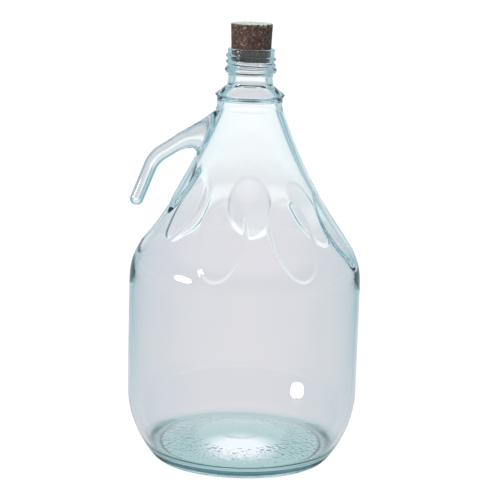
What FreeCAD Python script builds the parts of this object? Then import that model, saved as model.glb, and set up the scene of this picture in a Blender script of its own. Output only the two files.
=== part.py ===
"""Glass carboy: a blown demijohn with a hook handle on its shoulder and a tapered cork.

The bottle's axis is Z, and it stands on z = 0. The hook handle points along -X.
Lengths are millimetres and angles degrees. Every size is a cell of the sheet "Sizes".
"""
import FreeCAD, Part

import math
import os

import Sketcher
from FreeCAD import Placement, Rotation, Vector

# Alias, value, meaning. Each row becomes one cell of the sheet.
SIZES = (
    ("body_diameter", 185.0, "outside of the cylindrical wall"),
    ("body_top", 150.0, "height where the wall turns in to the shoulder"),
    ("wall", 3.2, "glass of the body, the shoulder, the cone and the collar"),
    ("land_diameter", 140.0, "outside of the flat ring that the bottle stands on"),
    ("land_width", 4.0, "width of that flat ring"),
    ("edge_radius", 3.2, "round from the flat ring to the heel"),
    ("heel_radius", 84.0, "long curve of the heel up to the wall"),
    ("push_up_height", 12.0, "middle of the hollowed base"),
    ("push_up_edge", 4.1, "height of the hollowed base's edge"),
    ("push_up_step", 2.0, "slope from the flat ring in to that edge, across"),
    ("base_thickness", 5.0, "glass of the base"),
    ("floor_radius", 12.0, "inside round from the floor to the heel"),
    ("shoulder_radius", 40.0, "convex curve of the shoulder"),
    ("cone_angle", 36.5, "lean of the cone's foot from upright"),
    ("cone_straight", 8.0, "straight stretch of the cone at that lean"),
    ("collar_lean", 19.25, "lean of the cone's top from upright, where it meets the collar"),
    ("collar_stand", 7.9, "how far the upright collar stands out from the neck"),
    ("collar_height", 7.6, "height of the collar"),
    ("ring_stand", 1.1, "how far the transfer ring's crest stands out from the collar"),
    ("ring_rise", 1.6, "height of the ring's slanted underside"),
    ("ring_crest", 1.5, "height of the ring's rounded crest"),
    ("ring_slope", 37.7, "top of the ring, from level"),
    ("neck_wall", 3.6, "glass of the plain neck"),
    ("neck_fillet", 6.0, "hollow curve from the ring up to the neck"),
    ("neck_height", 16.0, "neck from the ring's crest to the bead"),
    ("bead_height", 5.4, "height of the bead"),
    ("bead_stand", 2.3, "how far the bead stands proud"),
    ("finish_wall", 2.5, "glass at the rim, to the root of the screw thread"),
    ("finish_height", 13.9, "finish from the bead up to the rim"),
    ("rim_round", 1.1, "rounded outer edge of the rim"),
    ("thread_pitch", 4.7, "rise of the screw thread in one turn"),
    ("thread_turns", 1.9, "length of the screw thread in turns"),
    ("thread_stand", 1.3, "height of the thread's crest over its root"),
    ("thread_width", 3.0, "foot of the thread's profile"),
    ("thread_crest", 1.2, "flat top of the thread's profile"),
    ("thread_rise", 1.0, "middle of the thread's lower end above the bead"),
    ("throat_height", 7.5, "inside of the collar, up to where the neck closes in"),
    ("throat_round", 1.5, "inside round at the top of the collar"),
    ("funnel_height", 9.0, "inside slope from that round to the neck's bore"),
    ("bore_step", 0.9, "how far the neck's bore lies inside the cork's narrow end"),
    ("seat_margin", 2.0, "tapered mouth that goes on below the cork"),
    ("cork_top_diameter", 32.7, "wide end of the cork"),
    ("cork_taper", 2.3, "how much narrower the cork's other end is"),
    ("cork_length", 30.0, "whole cork"),
    ("cork_exposed", 19.5, "cork that stands above the rim"),
    ("cork_clearance", 0.3, "gap all round between cork and mouth"),
    ("cork_chamfer", 0.8, "worn edge of the cork's ends"),
    ("root_drop", 18.9, "middle of the handle's root below the collar"),
    ("root_half_length", 19.0, "handle's root along the cone"),
    ("root_half_width", 9.5, "handle's root across"),
    ("root_depth", 3.0, "how far the handle's first section lies in the glass"),
    ("arm_lean", 31.0, "fall of the handle's arm, from level"),
    ("hook_lean", 22.0, "lean of the hook, from upright"),
    ("hook_reach", 42.84, "handle's bend out from the cone at its root"),
    ("hook_fall", 39.2, "handle's bend below the collar"),
    ("hook_drop", 34.8, "length of the hook below the bend"),
    ("bend_radius", 24.0, "centre line of the bend"),
    ("flare_inset", 38.8, "flare of the handle's root, back from its bend"),
    ("flare_drop", 2.3, "how far the flare hangs under the arm's line"),
    ("flare_lean", 8.0, "fall of the flare, from level"),
    ("flare_half_height", 10.6, "flare, half its height"),
    ("flare_half_width", 7.6, "flare, half its width"),
    ("taper_inset", 27.0, "end of the handle's taper, back from its bend"),
    ("taper_half_height", 6.8, "handle at the end of its taper, half its height"),
    ("taper_half_width", 6.4, "handle at the end of its taper, half its width"),
    ("arm_diameter", 12.0, "arm of the handle"),
    ("hook_diameter", 10.6, "hook of the handle"),
)


class Size:
    """A number together with the sheet expression that gives it."""

    def __init__(self, value, text):
        self.value = value
        self.text = text

    def __add__(self, other):
        other = as_size(other)
        return Size(self.value + other.value, f"({self.text} + {other.text})")

    def __sub__(self, other):
        other = as_size(other)
        return Size(self.value - other.value, f"({self.text} - {other.text})")

    def __mul__(self, other):
        other = as_size(other)
        return Size(self.value * other.value, f"({self.text} * {other.text})")

    def __truediv__(self, other):
        other = as_size(other)
        return Size(self.value / other.value, f"({self.text} / {other.text})")

    def __neg__(self):
        return Size(-self.value, f"(0 - {self.text})")


def as_size(number):
    """A plain number as a Size."""
    return number if isinstance(number, Size) else Size(float(number), repr(number))


def root(size):
    return Size(math.sqrt(size.value), f"sqrt({size.text})")


def sine(angle):
    return Size(math.sin(math.radians(angle.value)), f"sin({angle.text})")


def cosine(angle):
    return Size(math.cos(math.radians(angle.value)), f"cos({angle.text})")


def tangent(angle):
    return Size(math.tan(math.radians(angle.value)), f"tan({angle.text})")


class SizeSheet:
    """The spreadsheet of driving sizes, read as attributes."""

    def __init__(self, doc):
        sheet = doc.addObject("Spreadsheet::Sheet", "Sizes")
        self.values = {}
        for row, (alias, value, meaning) in enumerate(SIZES, start=1):
            sheet.set(f"A{row}", str(value))
            sheet.setAlias(f"A{row}", alias)
            sheet.set(f"B{row}", meaning)
            self.values[alias] = Size(value, f"Sizes.{alias}")
        doc.recompute()

    def __getattr__(self, alias):
        return self.values[alias]


class Outline:
    """A closed outline in the XZ plane, drawn as one chain and tied to the sheet.

    A point is a pair of Sizes: the distance from the axis and the height.
    """

    ORIGIN = (-1, 1)
    LEVEL_AXIS = -1
    UPRIGHT_AXIS = -2

    def __init__(self, sketch, start):
        self.sketch = sketch
        self.points = [start]
        self.steps = []

    def line_to(self, point):
        self.points.append(point)
        self.steps.append(None)

    def arc_to(self, point, radius, left):
        """Add an arc; left says that its centre lies left of the way from start to end."""
        self.points.append(point)
        self.steps.append((radius, left))

    def close(self):
        """Close the chain with a line, then draw and constrain it all."""
        ends = self.points[1:] + [self.points[0]]
        if len(self.steps) < len(self.points):
            self.steps.append(None)
        first_ends, last_ends = [], []
        for start, end, step in zip(self.points, ends, self.steps):
            index, first, last = self.draw(start, end, step)
            first_ends.append((index, first))
            last_ends.append((index, last))
        for place, point in enumerate(self.points):
            self.join(last_ends[place - 1], first_ends[place])
            self.fix(first_ends[place], point)
        for (index, _), step in zip(first_ends, self.steps):
            if step:
                self.tie("Radius", (index,), step[0])

    def draw(self, start, end, step):
        """Add one line or arc, and say which of its ends starts the chain."""
        first = Vector(start[0].value, start[1].value, 0)
        last = Vector(end[0].value, end[1].value, 0)
        if step is None:
            return self.sketch.addGeometry(Part.LineSegment(first, last)), 1, 2
        radius, left = step
        chord = last - first
        side = Vector(-chord.y, chord.x, 0).normalize() * (1 if left else -1)
        centre = (first + last) * 0.5 + side * math.sqrt(radius.value ** 2 - (chord.Length / 2) ** 2)
        angles = [math.atan2(end.y - centre.y, end.x - centre.x) for end in (first, last)]
        circle = Part.Circle(centre, Vector(0, 0, 1), radius.value)
        if left:
            return self.sketch.addGeometry(Part.ArcOfCircle(circle, angles[0], angles[1])), 1, 2
        return self.sketch.addGeometry(Part.ArcOfCircle(circle, angles[1], angles[0])), 2, 1

    def join(self, one, other):
        self.sketch.addConstraint(Sketcher.Constraint("Coincident", *one, *other))

    def fix(self, end, point):
        """Hold an end on an axis, or at its distances from both."""
        for size, kind, axis in ((point[0], "DistanceX", self.UPRIGHT_AXIS),
                                 (point[1], "DistanceY", self.LEVEL_AXIS)):
            if size is ZERO:
                self.sketch.addConstraint(Sketcher.Constraint("PointOnObject", *end, axis))
            else:
                self.tie(kind, (*self.ORIGIN, *end), size)

    def tie(self, kind, where, size):
        index = self.sketch.addConstraint(Sketcher.Constraint(kind, *where, size.value))
        self.sketch.setExpression(f"Constraints[{index}]", size.text)


ZERO = Size(0.0, "0")
UPRIGHT_PLANE = Rotation(Vector(1, 0, 0), 90)
UP = Vector(0, 0, 1)
CREST_ROUND = 0.6      # radius of the ring's crest, as a share of the crest's height
THREAD_BED = 0.4       # part of the thread's height that lies in the neck


def polar(middle, angle, radius):
    """The point at an angle from level on a circle."""
    return middle[0] + radius * cosine(angle), middle[1] + radius * sine(angle)


def toward(start, end, share):
    """The point that lies a share of the way from start to end."""
    return tuple(one + (other - one) * share for one, other in zip(start, end))


class Carboy:
    """Every point that the bottle, its cavity, the handle and the cork have in common.

    Heights are stacked from the base up, and the neck's radii from the cork out.
    """

    def __init__(self, size):
        self.size = size
        self.body_radius = size.body_diameter / 2
        self.land_radius = size.land_diameter / 2
        self.dome_edge = (self.land_radius - size.land_width - size.push_up_step, size.push_up_edge)
        self.place_neck()
        self.place_cone()
        self.place_mouth()
        self.edge_centre = (self.land_radius, size.edge_radius)
        long_side = size.heel_radius - size.edge_radius
        level_side = size.heel_radius - (self.body_radius - self.land_radius)
        heel_top = size.edge_radius + root(long_side * long_side - level_side * level_side)
        self.heel_centre = (self.body_radius - size.heel_radius, heel_top)
        sag = size.push_up_height - size.push_up_edge
        self.dome_radius = (self.dome_edge[0] * self.dome_edge[0] + sag * sag) / (sag * 2)
        self.dome_centre = (ZERO, size.push_up_height - self.dome_radius)

    def place_neck(self):
        """The neck's radii, from the cork's narrow end out."""
        size = self.size
        self.foot_radius = (size.cork_top_diameter - size.cork_taper) / 2
        self.bore_radius = self.foot_radius - size.bore_step
        self.neck_radius = self.bore_radius + size.neck_wall
        self.collar_radius = self.neck_radius + size.collar_stand
        self.ring_radius = self.collar_radius + size.ring_stand

    def place_cone(self):
        """The cone: a straight stretch, then a hollow arc up to the collar's foot."""
        size = self.size
        self.shoulder_centre = (self.body_radius - size.shoulder_radius, size.body_top)
        foot = polar(self.shoulder_centre, size.cone_angle, size.shoulder_radius)
        self.cone_foot = foot
        self.cone_bend = (foot[0] - size.cone_straight * sine(size.cone_angle),
                          foot[1] + size.cone_straight * cosine(size.cone_angle))
        across = self.cone_bend[0] - self.collar_radius
        self.cone_radius = across / (cosine(size.collar_lean) - cosine(size.cone_angle))
        self.cone_centre = polar(self.cone_bend, size.cone_angle, self.cone_radius)
        self.collar_base = self.cone_centre[1] - self.cone_radius * sine(size.collar_lean)
        self.collar_foot = (self.collar_radius, self.collar_base)

    def place_mouth(self):
        """The heights from the collar up to the cork's ends, and the finish's radius."""
        size = self.size
        self.ring_foot = self.collar_base + size.collar_height + size.ring_rise
        self.ring_top = self.ring_foot + size.ring_crest
        self.bead_base = self.ring_top + size.neck_height
        self.bead_top = self.bead_base + size.bead_height
        self.rim = self.bead_top + size.finish_height
        self.cork_top = self.rim + size.cork_exposed
        self.cork_foot = self.cork_top - size.cork_length
        self.finish_radius = self.cork_radius(self.rim) + size.cork_clearance + size.finish_wall

    def cone_at(self, height):
        """Distance from the axis to the outside of the cone, and its lean there."""
        drop = self.cone_centre[1] - height
        reach = root(self.cone_radius * self.cone_radius - drop * drop)
        lean = Size(math.degrees(math.asin(drop.value / self.cone_radius.value)),
                    f"(asin({drop.text} / {self.cone_radius.text}) / 1 deg)")
        return self.cone_centre[0] - reach, lean

    def cork_radius(self, height):
        """The cork's radius at a height."""
        size = self.size
        taper = size.cork_taper / (size.cork_length * 2)
        return size.cork_top_diameter / 2 - (self.cork_top - height) * taper


def sketch_in(doc, name):
    """An upright sketch whose first axis points away from the bottle's axis."""
    sketch = doc.addObject("Sketcher::SketchObject", name)
    sketch.Placement = Placement(Vector(), UPRIGHT_PLANE)
    return sketch


def spin(doc, name, sketch):
    """A sketch turned all the way round the bottle's axis."""
    solid = doc.addObject("Part::Revolution", name)
    solid.Source = sketch
    solid.Axis = UP
    solid.Base = Vector()
    solid.Angle = 360
    solid.Solid = True
    return solid


def draw_base_and_body(outline, carboy):
    """The outside from the hollowed base up to the collar's foot."""
    size = carboy.size
    outline.arc_to(carboy.dome_edge, carboy.dome_radius, left=False)
    outline.line_to((carboy.land_radius - size.land_width, ZERO))
    outline.line_to((carboy.land_radius, ZERO))
    share = size.heel_radius / (size.heel_radius - size.edge_radius)
    outline.arc_to(toward(carboy.heel_centre, carboy.edge_centre, share), size.edge_radius, left=True)
    outline.arc_to((carboy.body_radius, carboy.heel_centre[1]), size.heel_radius, left=True)
    outline.line_to((carboy.body_radius, size.body_top))
    outline.arc_to(carboy.cone_foot, size.shoulder_radius, left=True)
    outline.line_to(carboy.cone_bend)
    outline.arc_to(carboy.collar_foot, carboy.cone_radius, left=False)


def draw_ring(outline, carboy):
    """The collar, the transfer ring's pointed crest and its slope up to the neck."""
    size = carboy.size
    outline.line_to((carboy.collar_radius, carboy.collar_base + size.collar_height))
    outline.line_to((carboy.ring_radius, carboy.ring_foot))
    outline.arc_to((carboy.ring_radius, carboy.ring_top), size.ring_crest * CREST_ROUND, left=True)
    corner = carboy.ring_top + (carboy.ring_radius - carboy.neck_radius) * tangent(size.ring_slope)
    reach = size.neck_fillet * tangent((Size(90.0, "90") - size.ring_slope) / 2)
    outline.line_to((carboy.neck_radius + reach * cosine(size.ring_slope),
                     corner - reach * sine(size.ring_slope)))
    outline.arc_to((carboy.neck_radius, corner + reach), size.neck_fillet, left=False)


def draw_finish(outline, carboy):
    """The neck, the bead and the rim of the mouth."""
    size = carboy.size
    outline.line_to((carboy.neck_radius, carboy.bead_base))
    step = carboy.finish_radius - carboy.neck_radius
    chord = size.bead_height * size.bead_height + step * step
    bead_radius = (chord / 4 + size.bead_stand * size.bead_stand) / (size.bead_stand * 2)
    outline.arc_to((carboy.finish_radius, carboy.bead_top), bead_radius, left=True)
    outline.line_to((carboy.finish_radius, carboy.rim - size.rim_round))
    outline.arc_to((carboy.finish_radius - size.rim_round, carboy.rim), size.rim_round, left=True)
    outline.line_to((ZERO, carboy.rim))


def make_blank(doc, carboy):
    """The bottle's outside as one full solid, without its thread."""
    sketch = sketch_in(doc, "bottle_outline")
    outline = Outline(sketch, (ZERO, carboy.size.push_up_height))
    draw_base_and_body(outline, carboy)
    draw_ring(outline, carboy)
    draw_finish(outline, carboy)
    outline.close()
    return spin(doc, "bottle_blank", sketch)


def meet_floor(carboy):
    """Centre of the inside round that touches the domed floor and the heel."""
    size = carboy.size
    low, high = carboy.dome_centre, carboy.heel_centre
    reach = carboy.dome_radius + size.base_thickness + size.floor_radius
    hang = size.heel_radius - size.wall - size.floor_radius
    across, rise = high[0] - low[0], high[1] - low[1]
    apart = root(across * across + rise * rise)
    along = (reach * reach - hang * hang + apart * apart) / (apart * 2)
    aside = root(reach * reach - along * along)
    return (low[0] + (across * along + rise * aside) / apart,
            low[1] + (rise * along - across * aside) / apart)


def draw_floor_and_walls(outline, carboy):
    """The inside from the domed floor up to the top of the cone."""
    size = carboy.size
    floor_curve = carboy.dome_radius + size.base_thickness
    heel_inside = size.heel_radius - size.wall
    middle = meet_floor(carboy)
    outline.arc_to(toward(carboy.dome_centre, middle, floor_curve / (floor_curve + size.floor_radius)),
                   floor_curve, left=False)
    outline.arc_to(toward(carboy.heel_centre, middle, heel_inside / (heel_inside - size.floor_radius)),
                   size.floor_radius, left=True)
    inner = carboy.body_radius - size.wall
    outline.arc_to((inner, carboy.heel_centre[1]), heel_inside, left=True)
    outline.line_to((inner, size.body_top))
    shoulder_inside = size.shoulder_radius - size.wall
    cone_inside = carboy.cone_radius + size.wall
    outline.arc_to(polar(carboy.shoulder_centre, size.cone_angle, shoulder_inside),
                   shoulder_inside, left=True)
    outline.line_to(polar(carboy.cone_centre, size.cone_angle + 180, cone_inside))
    outline.arc_to(toward(carboy.cone_centre, carboy.collar_foot, cone_inside / carboy.cone_radius),
                   cone_inside, left=False)


def draw_throat_and_mouth(outline, carboy):
    """The inside of the collar, the funnel, the neck's bore and the cork's tapered seat."""
    size = carboy.size
    inner = carboy.collar_radius - size.wall
    throat_top = carboy.collar_base + size.throat_height
    outline.line_to((inner, throat_top - size.throat_round))
    outline.arc_to((inner - size.throat_round, throat_top), size.throat_round, left=True)
    outline.line_to((carboy.bore_radius, throat_top + size.funnel_height))
    seat_foot = carboy.cork_foot - size.seat_margin
    outline.line_to((carboy.bore_radius, seat_foot - size.seat_margin))
    above = carboy.rim + size.rim_round
    outline.line_to((carboy.cork_radius(seat_foot) + size.cork_clearance, seat_foot))
    outline.line_to((carboy.cork_radius(above) + size.cork_clearance, above))
    outline.line_to((ZERO, above))


def make_cavity(doc, carboy):
    """The space inside the bottle, with its tapered mouth running on past the rim."""
    sketch = sketch_in(doc, "cavity_outline")
    outline = Outline(sketch, (ZERO, carboy.size.push_up_height + carboy.size.base_thickness))
    draw_floor_and_walls(outline, carboy)
    draw_throat_and_mouth(outline, carboy)
    outline.close()
    return spin(doc, "bottle_cavity", sketch)


def make_thread(doc, carboy):
    """The screw thread's ridge, a short helix that starts over +X."""
    size = carboy.size
    start = carboy.bead_top + size.thread_rise
    helix = doc.addObject("Part::Helix", "thread_path")
    helix.setExpression("Radius", carboy.finish_radius.text)
    helix.setExpression("Pitch", size.thread_pitch.text)
    helix.setExpression("Height", (size.thread_pitch * size.thread_turns).text)
    helix.setExpression("Placement.Base.z", start.text)
    sketch = sketch_in(doc, "thread_profile")
    foot = carboy.finish_radius - size.thread_stand * THREAD_BED
    crest = carboy.finish_radius + size.thread_stand
    half_foot, half_crest = size.thread_width / 2, size.thread_crest / 2
    outline = Outline(sketch, (foot, start - half_foot))
    outline.line_to((crest, start - half_crest))
    outline.line_to((crest, start + half_crest))
    outline.line_to((foot, start + half_foot))
    outline.close()
    sweep = doc.addObject("Part::Sweep", "thread_ridge")
    sweep.Sections = [sketch]
    sweep.Spine = (helix, [])
    sweep.Solid = True
    sweep.Frenet = True
    return sweep


def make_bottle(doc, carboy, blank):
    """The moulded bottle: the blank and its thread, less the cavity."""
    threaded = doc.addObject("Part::Fuse", "threaded_blank")
    threaded.Base = blank
    threaded.Tool = make_thread(doc, carboy)
    bottle = doc.addObject("Part::Cut", "glass_bottle")
    bottle.Base = threaded
    bottle.Tool = make_cavity(doc, carboy)
    return bottle


def section(doc, name, point, lean, half_height, half_width):
    """One oval section of the handle; lean is the fall of its way out, from level."""
    oval = doc.addObject("Part::Ellipse", name)
    oval.Placement = Placement(Vector(), Rotation(Vector(0, 1, 0), 90 - lean.value))
    oval.setExpression("MajorRadius", half_height.text)
    oval.setExpression("MinorRadius", half_width.text)
    oval.setExpression("Placement.Base.x", (-point[0]).text)
    oval.setExpression("Placement.Base.z", point[1].text)
    oval.setExpression("Placement.Rotation.Angle", (Size(90.0, "90") - lean).text)
    return oval


def handle_sections(doc, carboy):
    """The handle's sections from its root on the cone to the end of the hook."""
    size = carboy.size
    root_height = carboy.collar_base - size.root_drop
    surface, lean = carboy.cone_at(root_height)
    corner = (surface + size.hook_reach, carboy.collar_base - size.hook_fall)
    fall = Size(90.0, "90") - size.hook_lean
    reach = size.bend_radius * tangent((fall - size.arm_lean) / 2)

    def back(distance):
        return corner[0] - distance * cosine(size.arm_lean), corner[1] + distance * sine(size.arm_lean)

    def down(distance):
        return corner[0] + distance * cosine(fall), corner[1] - distance * sine(fall)

    arm, hook = size.arm_diameter / 2, size.hook_diameter / 2
    middle_lean = (fall + size.arm_lean) / 2
    middle_centre = (back(reach)[0] - size.bend_radius * sine(size.arm_lean),
                     back(reach)[1] - size.bend_radius * cosine(size.arm_lean))
    middle = (middle_centre[0] + size.bend_radius * sine(middle_lean),
              middle_centre[1] + size.bend_radius * cosine(middle_lean))
    flare = (back(size.flare_inset)[0], back(size.flare_inset)[1] - size.flare_drop)
    mean = (arm + hook) / 2
    rows = (
        ("handle_root", (surface - size.root_depth, root_height), -lean,
         size.root_half_length, size.root_half_width),
        ("handle_flare", flare, size.flare_lean, size.flare_half_height, size.flare_half_width),
        ("handle_taper_end", back(size.taper_inset), size.arm_lean,
         size.taper_half_height, size.taper_half_width),
        ("handle_arm", back(reach * 2), size.arm_lean, arm, arm),
        ("handle_bend_start", back(reach), size.arm_lean, arm, arm),
        ("handle_bend_middle", middle, middle_lean, mean, mean),
        ("handle_bend_end", down(reach), fall, hook, hook),
        ("handle_hook", down((reach + size.hook_drop) / 2), fall, hook, hook),
        ("handle_end", down(size.hook_drop), fall, hook, hook),
    )
    return [section(doc, *row) for row in rows], down(size.hook_drop)


def make_handle(doc, carboy, blank):
    """The solid glass hook: a lofted rod less the bottle, and a round tip."""
    size = carboy.size
    sections, end = handle_sections(doc, carboy)
    rod = doc.addObject("Part::Loft", "handle_rod")
    rod.Sections = sections
    rod.Solid = True
    rest = doc.addObject("Part::Cut", "handle_rod_outside")
    rest.Base = rod
    rest.Tool = blank
    tip = doc.addObject("Part::Sphere", "handle_tip")
    tip_turn = Size(180.0, "180") + size.hook_lean
    tip.Angle1 = 0
    tip.Placement = Placement(Vector(), Rotation(Vector(0, 1, 0), tip_turn.value))
    tip.setExpression("Radius", (size.hook_diameter / 2).text)
    tip.setExpression("Placement.Base.x", (-end[0]).text)
    tip.setExpression("Placement.Base.z", end[1].text)
    tip.setExpression("Placement.Rotation.Angle", tip_turn.text)
    handle = doc.addObject("Part::Fuse", "hook_handle")
    handle.Base = rest
    handle.Tool = tip
    return handle


def make_cork(doc, carboy):
    """The tapered cork: a cone with both ends chamfered."""
    size = carboy.size
    body = doc.addObject("PartDesign::Body", "cork_stopper")
    cone = body.newObject("PartDesign::AdditiveCone", "cork_cone")
    cone.setExpression("Radius1", carboy.foot_radius.text)
    cone.setExpression("Radius2", (size.cork_top_diameter / 2).text)
    cone.setExpression("Height", size.cork_length.text)
    cone.setExpression("Placement.Base.z", carboy.cork_foot.text)
    doc.recompute()
    rims = [f"Edge{place}" for place, edge in enumerate(cone.Shape.Edges, start=1)
            if isinstance(edge.Curve, Part.Circle)]
    chamfer = body.newObject("PartDesign::Chamfer", "cork_edges")
    chamfer.Base = (cone, rims)
    chamfer.setExpression("Size", size.cork_chamfer.text)
    body.Tip = chamfer
    return body


def check(doc, pieces):
    """Stop if an object failed to compute or a piece isn't one good solid."""
    for thing in doc.Objects:
        faults = {"Invalid", "Error"}.intersection(thing.State)
        if faults:
            raise RuntimeError(f"{thing.Label} is {sorted(faults)}")
    for piece in pieces:
        shape = piece.Shape
        if shape.isNull() or not shape.isValid() or len(shape.Solids) != 1:
            raise RuntimeError(f"{piece.Label} isn't one valid solid")


def main():
    doc = FreeCAD.newDocument("glass_carboy")
    carboy = Carboy(SizeSheet(doc))
    blank = make_blank(doc, carboy)
    pieces = [make_bottle(doc, carboy, blank), make_handle(doc, carboy, blank), make_cork(doc, carboy)]
    doc.recompute()
    check(doc, pieces)
    os.makedirs("parts", exist_ok=True)
    for piece in pieces:
        piece.Shape.exportStep(f"parts/{piece.Label}.step")
        box = piece.Shape.BoundBox
        print(f"{piece.Label}: {piece.Shape.Volume / 1000:.1f} cm3, x {box.XMin:.2f} to {box.XMax:.2f},"
              f" y {box.YMin:.2f} to {box.YMax:.2f}, z {box.ZMin:.2f} to {box.ZMax:.2f}")


main()
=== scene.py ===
"""The looks of a glass carboy: a hand bottle with a hook handle, moulded ovals and a cork."""

import logging
import math
from dataclasses import dataclass, fields
from enum import Enum
from typing import Any, NamedTuple

import bpy
import numpy as np
from mathutils import Matrix, Vector


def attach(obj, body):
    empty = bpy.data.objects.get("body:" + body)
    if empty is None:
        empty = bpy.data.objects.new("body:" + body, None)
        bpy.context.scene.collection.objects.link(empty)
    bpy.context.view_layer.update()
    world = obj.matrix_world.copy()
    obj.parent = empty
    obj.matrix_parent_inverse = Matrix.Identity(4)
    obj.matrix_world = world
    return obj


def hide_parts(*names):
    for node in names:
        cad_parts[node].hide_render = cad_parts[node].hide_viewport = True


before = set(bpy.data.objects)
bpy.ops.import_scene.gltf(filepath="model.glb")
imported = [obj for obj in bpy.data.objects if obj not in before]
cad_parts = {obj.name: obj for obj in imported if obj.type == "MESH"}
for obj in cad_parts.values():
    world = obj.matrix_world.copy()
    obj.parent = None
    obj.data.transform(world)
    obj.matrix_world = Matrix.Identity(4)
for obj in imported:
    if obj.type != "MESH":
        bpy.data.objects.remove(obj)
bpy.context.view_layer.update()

log = logging.getLogger("carboy")

MM = 0.001
SLACK = 1e-6
Point = tuple[float, float]
Span = tuple[float, float]
Place = tuple[float, float, float]
Colour = tuple[float, float, float]


# --- Sums on node sockets ---------------------------------------------------------------------


class Wire:
    """One output of a node; sums on it add Math nodes to its tree."""

    def __init__(self, bench: "Bench", socket: bpy.types.NodeSocket) -> None:
        """Hold the tree's bench and the output.

        Args:
            bench: the bench that made the node.
            socket: the node's output.
        """
        self.bench = bench
        self.socket = socket

    def out(self, name: str | int) -> "Wire":
        """Another output of the same node."""
        return Wire(self.bench, self.socket.node.outputs[name])

    def math(self, operation: str, *others: Any) -> "Wire":
        """A Math node with this wire first."""
        values = dict(enumerate((self, *others)))
        return self.bench.node("ShaderNodeMath", {"operation": operation}, values)

    def __add__(self, other: Any) -> "Wire":
        """This plus another."""
        return self.math("ADD", other)

    def __sub__(self, other: Any) -> "Wire":
        """This less another."""
        return self.math("SUBTRACT", other)

    def __rsub__(self, other: Any) -> "Wire":
        """Another less this."""
        return self.bench.node("ShaderNodeMath", {"operation": "SUBTRACT"}, {0: other, 1: self})

    def __mul__(self, other: Any) -> "Wire":
        """This times another."""
        return self.math("MULTIPLY", other)

    def __truediv__(self, other: Any) -> "Wire":
        """This over another."""
        return self.math("DIVIDE", other)

    def __rtruediv__(self, other: Any) -> "Wire":
        """Another over this."""
        return self.bench.node("ShaderNodeMath", {"operation": "DIVIDE"}, {0: other, 1: self})

    __radd__ = __add__
    __rmul__ = __mul__


class Bench:
    """Makes the nodes of one tree."""

    def __init__(self, tree: bpy.types.NodeTree) -> None:
        """Start on a tree, emptied of its nodes."""
        self.tree = tree
        tree.nodes.clear()

    def node(self, kind: str, settings: dict[str, Any] | None = None,
             inputs: dict[int | str, Any] | None = None, output: int | str = 0) -> Wire | None:
        """Add one node: its settings first, then its inputs.

        Args:
            kind: the node's type.
            settings: attributes of the node; "stops" sets a ramp's (place, colour) pairs.
            inputs: values or wires by the input's index or name.
            output: the output to return.

        Returns:
            The wire of that output, or None for a node that has none.
        """
        node = self.tree.nodes.new(kind)
        for name, value in (settings or {}).items():
            if name == "stops":
                self.set_stops(node.color_ramp, value)
            else:
                setattr(node, name, value)
        for name, value in (inputs or {}).items():
            slot = node.inputs[name]
            if isinstance(value, Wire):
                self.tree.links.new(value.socket, slot)
            else:
                slot.default_value = (*value, 1.0) if slot.type == "RGBA" else value
        return Wire(self, node.outputs[output]) if len(node.outputs) else None

    @staticmethod
    def set_stops(ramp: bpy.types.ColorRamp, stops: list[tuple[float, Colour]]) -> None:
        """Give a colour ramp its stops.

        Args:
            ramp: the ramp.
            stops: the place and colour of each.
        """
        while len(ramp.elements) < len(stops):
            ramp.elements.new(1.0)
        for element, (place, colour) in zip(ramp.elements, stops):
            element.position = place
            element.color = (*colour, 1.0)

    def smooth(self, value: Any, low: Any, high: Any) -> Wire:
        """A soft step from 0 below low to 1 above high."""
        return self.node("ShaderNodeMapRange", {"interpolation_type": "SMOOTHSTEP"},
                         {"Value": value, "From Min": low, "From Max": high})

    def split(self, vector: Any) -> tuple[Wire, Wire, Wire]:
        """The X, Y and Z of a vector."""
        parts = self.node("ShaderNodeSeparateXYZ", None, {0: vector})
        return parts.out("X"), parts.out("Y"), parts.out("Z")

    def scaled(self, vector: Any, factor: Any) -> Wire:
        """A vector times a number."""
        return self.node("ShaderNodeVectorMath", {"operation": "SCALE"}, {0: vector, "Scale": factor})

    def blend(self, factor: Any, first: Any, second: Any) -> Wire:
        """A colour between two others."""
        return self.node("ShaderNodeMix", {"data_type": "RGBA"}, {0: factor, 6: first, 7: second}, 2)


class Side(Enum):
    """Which skin of the glass a point lies on."""

    OUTSIDE = 0
    INSIDE = 1


# --- Turned skins ------------------------------------------------------------------------------


class Row(NamedTuple):
    """One ring of a turned skin: its radius and height in millimetres and its number of points."""

    radius: float
    height: float
    columns: int
    side: Side


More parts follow.
